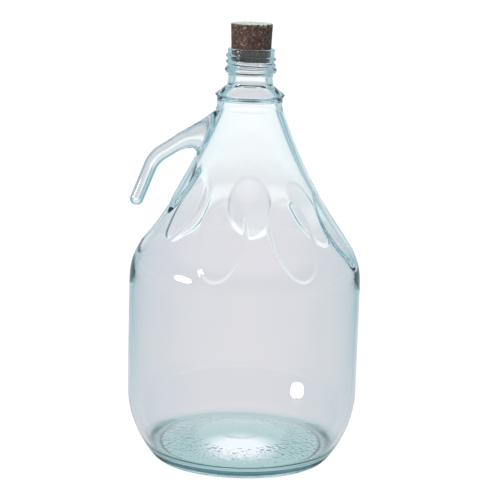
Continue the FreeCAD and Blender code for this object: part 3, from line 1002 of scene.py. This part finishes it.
@dataclass
class Bottle:
    """The moulded bottle as one closed skin of glass; sizes in millimetres, angles in degrees.

    Fine, coarse and few are the points round its rows. At the sizes called ends the rows get
    finer or coarser: a radius on the base and the floor, an angle up the heel, a drop below the
    top of the body, and a height on the cone.
    """

    body_radius: float = 92.5
    body_top: float = 150.0
    wall: float = 3.2
    land_radius: float = 70.0
    land_width: float = 4.0
    edge_radius: float = 3.2
    heel_radius: float = 84.0
    push_up_height: float = 12.0
    push_up_edge: float = 64.0
    push_up_radius: float = 264.0
    base_thickness: float = 5.0
    floor_radius: float = 12.0
    shoulder_radius: float = 40.0
    cone_angle: float = 36.5
    cone_straight: float = 8.0
    collar_radius: float = 25.8
    collar_base: float = 282.5
    collar_height: float = 7.6
    ring_radius: float = 26.9
    ring_rise: float = 1.6
    ring_crest: float = 1.5
    ring_slope: float = 37.7
    neck_radius: float = 17.9
    neck_fillet: float = 3.0
    bead_base: float = 309.2
    bead_height: float = 5.4
    bead_stand: float = 2.3
    finish_radius: float = 18.4
    glass_height: float = 328.5
    rim_round: float = 1.1
    bore_radius: float = 14.3
    seat_foot: float = 316.0
    seat_run: float = 2.0
    bore_foot: float = 299.0
    inner_slope_foot: float = 290.0
    inner_round: float = 1.5
    cork_gap: float = 0.3
    crest_inset: float = 0.5
    mouth_round: float = 0.5
    disc_end: float = 16.0
    plain_end: float = 34.0
    heel_end: float = 4.5
    body_end: float = 12.0
    cone_end: float = 232.0
    floor_end: float = 20.0
    pole_end: float = 5.0
    fine: int = 360
    coarse: int = 180
    few: int = 90

    def __post_init__(self) -> None:
        """Work out the centres of the outline's arcs."""
        long_side = self.heel_radius - self.edge_radius
        level_side = self.heel_radius - (self.body_radius - self.land_radius)
        self.heel_centre = (self.body_radius - self.heel_radius,
                            self.edge_radius + math.sqrt(long_side ** 2 - level_side ** 2))
        self.edge_centre = (self.land_radius, self.edge_radius)
        self.shoulder_centre = (self.body_radius - self.shoulder_radius, self.body_top)
        self.dome_centre = (0.0, self.push_up_height - self.push_up_radius)
        self.cone_foot = polar(self.shoulder_centre, self.cone_angle, self.shoulder_radius)
        self.cone_bend = polar(self.cone_foot, self.cone_angle + 90.0, self.cone_straight)
        self.collar_foot = (self.collar_radius, self.collar_base)
        across = self.collar_foot[0] - self.cone_bend[0]
        rise = self.collar_foot[1] - self.cone_bend[1]
        lean = math.radians(self.cone_angle)
        offset = across * math.cos(lean) + rise * math.sin(lean)
        self.cone_radius = (across ** 2 + rise ** 2) / (offset * 2)
        self.cone_centre = polar(self.cone_bend, self.cone_angle, self.cone_radius)

    def cone_at(self, height: float) -> float:
        """The cone's radius at a height."""
        drop = self.cone_centre[1] - height
        return self.cone_centre[0] - math.sqrt(self.cone_radius ** 2 - drop ** 2)

    def on_cone(self, walk: float, across: float, off: float) -> Place:
        """A point just off the cone on the handle's side.

        Args:
            walk: how far up the outline it lies.
            across: how far round it lies from the handle's middle.
            off: how far it stands off the glass.

        Returns:
            The point, in millimetres.
        """
        foot = self.body_top + math.radians(self.cone_angle) * self.shoulder_radius + self.cone_straight
        turn = self.cone_angle + 180.0 - math.degrees((walk - foot) / self.cone_radius)
        radius, height = polar(self.cone_centre, turn, self.cone_radius - off)
        return -radius * math.cos(across / radius), radius * math.sin(across / radius), height

    def dome_at(self, radius: float, off: float = 0.0) -> Point:
        """The point of the hollowed base at a radius, or one that stands off it."""
        return radius, self.dome_centre[1] + math.sqrt((self.push_up_radius + off) ** 2 - radius ** 2)

    def draw_outside(self) -> Outline:
        """The outside, from the middle of the base up to the rim.

        Returns:
            The line.
        """
        fine, coarse = self.fine, self.coarse
        line = Outline(self.dome_at(0.0), 1)
        line.arc_to(self.dome_at(self.disc_end), self.dome_centre, step=4.0, columns=self.few)
        line.arc_to(self.dome_at(self.plain_end), self.dome_centre, step=1.6, columns=coarse)
        line.arc_to(self.dome_at(self.push_up_edge), self.dome_centre, step=1.0, columns=fine)
        line.line_to((self.land_radius - self.land_width, 0.0), step=0.9, columns=fine)
        line.line_to((self.land_radius, 0.0), step=0.8, columns=fine)
        edge_end = toward(self.heel_centre, self.edge_centre, self.heel_radius)
        line.arc_to(edge_end, self.edge_centre, step=0.7, columns=fine)
        heel_start = math.degrees(math.atan2(edge_end[1] - self.heel_centre[1],
                                             edge_end[0] - self.heel_centre[0]))
        line.arc_to(polar(self.heel_centre, heel_start + self.heel_end, self.heel_radius),
                    self.heel_centre, step=0.9, columns=fine)
        line.arc_to((self.body_radius, self.heel_centre[1]), self.heel_centre, step=3.0, columns=coarse)
        line.line_to((self.body_radius, self.body_top - self.body_end), step=9.0, columns=coarse)
        line.line_to((self.body_radius, self.body_top), step=1.7, columns=coarse)
        line.arc_to(self.cone_foot, self.shoulder_centre, step=1.5, columns=fine)
        line.line_to(self.cone_bend, step=1.5, columns=fine)
        fine_end = (self.cone_at(self.cone_end), self.cone_end)
        line.arc_to(fine_end, self.cone_centre, step=1.6, columns=fine)
        line.arc_to(self.collar_foot, self.cone_centre, step=1.6, columns=coarse)
        self.draw_ring(line)
        self.draw_finish(line)
        return line

    def draw_ring(self, line: Outline) -> None:
        """The collar, the pointed ring and its slope up to the neck.

        Args:
            line: the line to go on with.
        """
        coarse = self.coarse
        collar_top = self.collar_base + self.collar_height
        crest_foot = collar_top + self.ring_rise
        crest_top = crest_foot + self.ring_crest
        line.line_to((self.collar_radius, collar_top), step=1.3, columns=coarse)
        line.line_to((self.ring_radius, crest_foot), step=0.7, columns=coarse)
        line.arc_to((self.ring_radius, crest_top),
                    (self.ring_radius - self.crest_inset, (crest_foot + crest_top) / 2),
                    step=0.35, columns=coarse)
        slope = math.radians(self.ring_slope)
        corner = crest_top + (self.ring_radius - self.neck_radius) * math.tan(slope)
        reach = self.neck_fillet * math.tan((math.pi / 2 - slope) / 2)
        line.line_to((self.neck_radius + reach * math.cos(slope), corner - reach * math.sin(slope)),
                     step=1.0, columns=coarse)
        line.arc_to((self.neck_radius, corner + reach),
                    (self.neck_radius + self.neck_fillet, corner + reach), step=0.7, columns=coarse)

    def draw_finish(self, line: Outline) -> None:
        """The neck, the bead, the threaded finish and the rim.

        Args:
            line: the line to go on with.
        """
        coarse = self.coarse
        line.line_to((self.neck_radius, self.bead_base), step=2.0, columns=coarse)
        ledge = self.finish_radius - self.neck_radius
        bead = ((self.bead_height ** 2 + ledge ** 2) / 4 + self.bead_stand ** 2) / (self.bead_stand * 2)
        top = (self.finish_radius, self.bead_base + self.bead_height)
        middle = ((self.neck_radius + top[0]) / 2, (self.bead_base + top[1]) / 2)
        line.arc_to(top, (middle[0] + self.bead_stand - bead, middle[1]), step=0.6, columns=coarse)
        rim_inset, rim_foot = self.finish_radius - self.rim_round, self.glass_height - self.rim_round
        line.line_to((self.finish_radius, rim_foot), step=0.5, columns=coarse)
        line.arc_to((rim_inset, self.glass_height), (rim_inset, rim_foot), step=0.3, columns=coarse)

    def draw_mouth(self, line: Outline, cork: "Cork") -> None:
        """The mouth, the seat of the cork, the bore and the slope below it.

        Args:
            line: the line to go on with.
            cork: the cork, for its taper.
        """
        coarse = self.coarse
        mouth = cork.radius_at(self.glass_height) + self.cork_gap
        seat = cork.radius_at(self.seat_foot) + self.cork_gap
        lip, lip_foot = mouth + self.mouth_round, self.glass_height - self.mouth_round
        neck_inside = self.collar_radius - self.wall
        line.line_to((lip, self.glass_height), step=0.5, columns=coarse)
        line.arc_to((mouth, lip_foot), (lip, lip_foot), step=0.25, columns=coarse)
        line.line_to((seat, self.seat_foot), step=2.0, columns=coarse)
        line.line_to((self.bore_radius, self.seat_foot - self.seat_run), step=0.8, columns=coarse)
        line.line_to((self.bore_radius, self.bore_foot), step=2.0, columns=coarse)
        line.line_to((neck_inside - self.inner_round, self.inner_slope_foot), step=1.2, columns=coarse)
        line.line_to((neck_inside, self.inner_slope_foot - self.inner_round), step=0.8, columns=coarse)

    def draw_inside(self, line: Outline) -> None:
        """The inside of the walls, down to the middle of the floor.

        Args:
            line: the line to go on with.
        """
        coarse = self.coarse
        cone_inside = self.cone_radius + self.wall
        line.line_to(toward(self.cone_centre, self.collar_foot, cone_inside), step=1.6, columns=coarse)
        line.arc_to(polar(self.cone_centre, self.cone_angle + 180.0, cone_inside), self.cone_centre,
                    step=3.2, columns=coarse)
        line.line_to(polar(self.shoulder_centre, self.cone_angle, self.shoulder_radius - self.wall),
                     step=3.0, columns=coarse)
        inner = self.body_radius - self.wall
        line.arc_to((inner, self.body_top), self.shoulder_centre, step=2.4, columns=coarse)
        line.line_to((inner, self.heel_centre[1]), step=8.0, columns=coarse)
        middle, base = self.floor_middle(), self.base_thickness
        line.arc_to(toward(self.heel_centre, middle, self.heel_radius - self.wall), self.heel_centre,
                    step=2.6, columns=coarse)
        line.arc_to(toward(self.dome_centre, middle, self.push_up_radius + base), middle,
                    step=1.6, columns=coarse)
        line.arc_to(self.dome_at(self.floor_end, base), self.dome_centre, step=4.0, columns=coarse)
        line.arc_to(self.dome_at(self.pole_end, base), self.dome_centre, step=4.0, columns=self.few)
        line.line_to((0.0, self.push_up_height + base), step=6.0, columns=1)

    def floor_middle(self) -> Point:
        """The inside round that touches the domed floor and the heel.

        Returns:
            Its centre.
        """
        low, high = self.dome_centre, self.heel_centre
        reach = self.push_up_radius + self.base_thickness + self.floor_radius
        hang = self.heel_radius - self.wall - self.floor_radius
        apart = math.dist(low, high)
        along = (reach ** 2 - hang ** 2 + apart ** 2) / (apart * 2)
        aside = math.sqrt(reach ** 2 - along ** 2)
        run = ((high[0] - low[0]) / apart, (high[1] - low[1]) / apart)
        return low[0] + run[0] * along + run[1] * aside, low[1] + run[1] * along - run[0] * aside

    def build(self, cork: "Cork", material: bpy.types.Material) -> bpy.types.Object:
        """The bottle as one closed piece.

        Args:
            cork: the cork, for the mouth's taper.
            material: the glass.

        Returns:
            The finished piece.
        """
        line = self.draw_outside()
        line.side = Side.INSIDE
        self.draw_mouth(line, cork)
        self.draw_inside(line)
        ends = [(row.radius, row.height) for row in line.rows]
        lengths = np.cumsum([0.0] + [math.dist(a, b) for a, b in zip(ends, ends[1:])])
        top = next(number for number, end in enumerate(ends) if end[1] >= self.body_top - SLACK)
        walks = lengths - lengths[top] + self.body_top
        skin = Skin()
        skin.join_all([skin.lay(row, walk) for row, walk in zip(line.rows, walks)])
        piece = skin.mesh("bottle_glass")
        MouldRelief(ReliefSizes(), material).shape(piece)
        return piece


# --- The cork ----------------------------------------------------------------------------------


@dataclass(frozen=True)
class CorkGrain:
    """How broken the cork's surface is, in millimetres, and the height of its top.

    Two names that end in from and to are the ends of a soft step.
    """

    top: float
    grain_size: float = 1.5
    joint_depth: float = 0.22
    joint_from: float = 0.0
    joint_to: float = 0.12
    pit_depth: float = 0.45
    pit_size: float = 1.5
    pit_from: float = 0.58
    pit_to: float = 0.68
    chip_depth: float = 0.7
    chip_size: float = 4.0
    chip_from: float = 0.5
    chip_to: float = 0.62
    chip_reach: float = 2.4
    chip_full: float = 0.6


class CorkTexture(Tree):
    """Sunken joints between the grains, small pits and a chipped top edge."""

    def __init__(self, sizes: CorkGrain, material: bpy.types.Material) -> None:
        """Build the tree.

        Args:
            sizes: the sizes of the grain.
            material: the cork.
        """
        super().__init__("cork_grain", sizes)
        size, step = self.size, self.step
        height = self.bench.split(self.place)[2]
        edge = self.bench.node("ShaderNodeTexVoronoi", {"feature": "DISTANCE_TO_EDGE"},
                               {"Vector": self.place, "Scale": 1.0 / size("grain_size")})
        joints = (1.0 - step(edge, "joint")) * size("joint_depth")
        pits = step(self.noise(1.0 / size("pit_size")), "pit") * size("pit_depth")
        near_top = self.bench.smooth(height, size("top") - size("chip_reach"),
                                     size("top") - size("chip_full"))
        chips = step(self.noise(1.0 / size("chip_size")), "chip") * near_top
        self.finish((joints + pits + chips * size("chip_depth")) * -1.0, material)


@dataclass
class Cork:
    """The tapered stopper; sizes in millimetres."""

    top_radius: float = 16.35
    foot_radius: float = 15.2
    foot: float = 318.0
    length: float = 30.0
    chamfer: float = 0.8
    foot_middle: float = 2.0
    top_fine: float = 6.0
    top_middle: float = 1.5
    columns: int = 240

    def radius_at(self, height: float) -> float:
        """The cork's radius at a height."""
        taper = (self.top_radius - self.foot_radius) / self.length
        return self.foot_radius + (height - self.foot) * taper

    def build(self, material: bpy.types.Material) -> bpy.types.Object:
        """The cork as one closed piece.

        Args:
            material: the cork's finish.

        Returns:
            The finished piece.
        """
        fine, coarse, few = self.columns, self.columns // 2, self.columns // 4
        top = self.foot + self.length
        low_edge, high_edge = self.foot + self.chamfer, top - self.chamfer
        line = Outline((0.0, self.foot), 1)
        line.line_to((self.foot_middle, self.foot), step=2.0, columns=few)
        line.line_to((self.foot_radius - self.chamfer, self.foot), step=1.4, columns=coarse)
        line.line_to((self.radius_at(low_edge), low_edge), step=0.5, columns=fine)
        line.line_to((self.radius_at(high_edge), high_edge), step=0.5, columns=fine)
        line.line_to((self.top_radius - self.chamfer, top), step=0.4, columns=fine)
        line.line_to((self.top_fine, top), step=0.5, columns=fine)
        line.line_to((self.top_middle, top), step=0.5, columns=few)
        line.line_to((0.0, top), step=2.0, columns=1)
        skin = Skin()
        skin.join_all([skin.lay(row) for row in line.rows])
        piece = skin.mesh("cork_stopper_grain")
        CorkTexture(CorkGrain(top), material).shape(piece)
        return piece


# --- The studio --------------------------------------------------------------------------------


@dataclass(frozen=True)
class Lamp:
    """A soft lamp: where it is, what it points at, its size in metres, its power and its colour.

    A glossy lamp only shines back from smooth surfaces, and any other only lights rough ones.
    """

    spot: Place
    aim: Place
    wide: float
    high: float
    power: float
    glossy: bool
    colour: Colour = (1.0, 1.0, 1.0)

    def hang(self, name: str) -> None:
        """Hang the lamp.

        Args:
            name: its name.
        """
        data = bpy.data.lights.new(name, "AREA")
        data.shape = "ELLIPSE"
        data.size, data.size_y = self.wide, self.high
        data.energy = self.power
        data.color = self.colour
        lamp = bpy.data.objects.new(name, data)
        way = (Vector(self.aim) - Vector(self.spot)).to_track_quat("-Z", "Y")
        lamp.matrix_world = Matrix.Translation(self.spot) @ way.to_matrix().to_4x4()
        lamp.visible_camera = False
        lamp.visible_diffuse = not self.glossy
        lamp.visible_glossy = self.glossy
        lamp.visible_transmission = False
        bpy.context.scene.collection.objects.link(lamp)


LAMPS = {
    "left_lamp": Lamp((-0.684, -0.173, 0.350), (-0.066, -0.064, 0.160), 0.25, 0.10, 2.1, True),
    "right_lamp": Lamp((0.176, -0.259, 0.006), (0.021, -0.090, 0.076), 0.070, 0.016, 0.10, True),
    "cork_lamp": Lamp((-1.1, -1.0, 0.9), (0.0, 0.0, 0.34), 0.40, 0.40, 11.0, False, (1.0, 0.80, 0.68)),
    "top_lamp": Lamp((0.1, 0.3, 1.5), (0.0, 0.0, 0.34), 0.50, 0.50, 22.0, False),
}


@dataclass
class Studio:
    """The paper, the soft room light, the lamps and the camera; sizes in metres, turns in degrees."""

    paper_radius: float = 14.0
    paper_corners: int = 96
    camera_reach: float = 1.3
    camera_height: float = 0.45
    camera_turn: float = 14.0
    camera_pitch: float = 12.21
    camera_roll: float = 1.64
    camera_clip: Span = (0.05, 60.0)
    sensor_mm: float = 36.0
    lens_mm: float = 119.75
    shift: float = 0.0088
    over: Colour = (0.9, 0.95, 1.05)
    zenith: Colour = (0.6, 0.8, 1.0)
    behind: Colour = (0.86, 0.88, 0.90)
    beside: Colour = (0.26, 0.50, 0.58)
    before: Colour = (0.30, 0.46, 0.50)
    before_span: Span = (-0.8, -0.1)
    behind_span: Span = (0.80, 0.95)
    over_span: Span = (0.5, 0.8)
    zenith_span: Span = (0.88, 0.99)
    bounces: int = 28

    def build(self) -> None:
        """Set everything up."""
        self.lay_paper()
        self.light_room()
        for name, lamp in LAMPS.items():
            lamp.hang(name)
        self.place_camera()
        scene = bpy.context.scene
        scene.view_settings.view_transform = "Standard"
        scene.cycles.max_bounces = self.bounces
        scene.cycles.transmission_bounces = self.bounces
        scene.cycles.glossy_bounces = self.bounces // 2

    def lay_paper(self) -> None:
        """The round sheet of paper underfoot."""
        angles = [math.tau * number / self.paper_corners for number in range(self.paper_corners)]
        edge = [(self.paper_radius * math.cos(angle), self.paper_radius * math.sin(angle), 0.0)
                for angle in angles]
        data = bpy.data.meshes.new("paper")
        data.from_pydata(edge, [], [tuple(range(self.paper_corners))])
        data.materials.append(StudioPaper(self.camera_turn).make())
        paper = bpy.data.objects.new("paper", data)
        bpy.context.scene.collection.objects.link(paper)

    def light_room(self) -> None:
        """A room that is bright overhead and behind the bottle and dark sea green elsewhere."""
        world = bpy.data.worlds.new("room")
        bpy.context.scene.world = world
        world.use_nodes = True
        bench = Bench(world.node_tree)
        way = bench.node("ShaderNodeTexCoord").out("Generated")
        turn = math.radians(self.camera_turn)
        ahead = bench.node("ShaderNodeVectorMath", {"operation": "DOT_PRODUCT"},
                           {0: way, 1: (math.sin(turn), math.cos(turn), 0.0)}, "Value")
        height = bench.split(way)[2]
        front = bench.blend(bench.smooth(ahead, *self.before_span), self.before, self.beside)
        level = bench.blend(bench.smooth(ahead, *self.behind_span), front, self.behind)
        above = bench.blend(bench.smooth(height, *self.zenith_span), self.over, self.zenith)
        colour = bench.blend(bench.smooth(height, *self.over_span), level, above)
        room = bench.node("ShaderNodeBackground", None, {"Color": colour, "Strength": 1.0})
        white = bench.node("ShaderNodeBackground", None, {"Color": (1.0, 1.0, 1.0), "Strength": 1.0})
        seen = bench.node("ShaderNodeLightPath").out("Is Camera Ray")
        mixed = bench.node("ShaderNodeMixShader", None, {0: seen, 1: room, 2: white})
        bench.node("ShaderNodeOutputWorld", None, {"Surface": mixed})

    def place_camera(self) -> None:
        """The camera, a little above the bottle and looking down at it."""
        data = bpy.data.cameras.new("camera")
        data.lens = self.lens_mm
        data.sensor_width = self.sensor_mm
        data.shift_x = self.shift
        data.clip_start, data.clip_end = self.camera_clip
        camera = bpy.data.objects.new("camera", data)
        turn = math.radians(self.camera_turn)
        spot = Vector((-math.sin(turn), -math.cos(turn), 0.0)) * self.camera_reach
        spot.z = self.camera_height
        camera.matrix_world = (Matrix.Translation(spot) @ Matrix.Rotation(-turn, 4, "Z")
                               @ Matrix.Rotation(math.radians(90.0 - self.camera_pitch), 4, "X")
                               @ Matrix.Rotation(math.radians(self.camera_roll), 4, "Z"))
        bpy.context.scene.collection.objects.link(camera)
        bpy.context.scene.camera = camera


def dress(piece: bpy.types.Object, body: str, slot: str, *nodes: str) -> None:
    """Tie a piece to what it belongs to and report it.

    Args:
        piece: the piece.
        body: the body that it moves with.
        slot: the name of a material slot; not used.
        nodes: the nodes that it stands for.
    """
    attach(piece, body)
    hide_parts(*nodes)
    data = piece.data
    data.calc_loop_triangles()
    log.info("%s: %d points, %d triangles, on %s", piece.name, len(data.vertices),
             len(data.loop_triangles), body)


def main() -> None:
    """Build the bottle, its cork and the studio."""
    logging.basicConfig(level=logging.INFO, format="%(name)s: %(message)s")
    Studio().build()
    cork = Cork()
    bottle, glass = Bottle(), BottleGlass().make()
    dress(bottle.build(cork, glass), "carboy", "glass", "glass_bottle")
    dress(Handle().build(bottle, glass), "carboy", "glass", "hook_handle")
    dress(cork.build(GroundCork().make()), "cork", "cork", "cork_stopper")


if __name__ == "__main__":
    main()
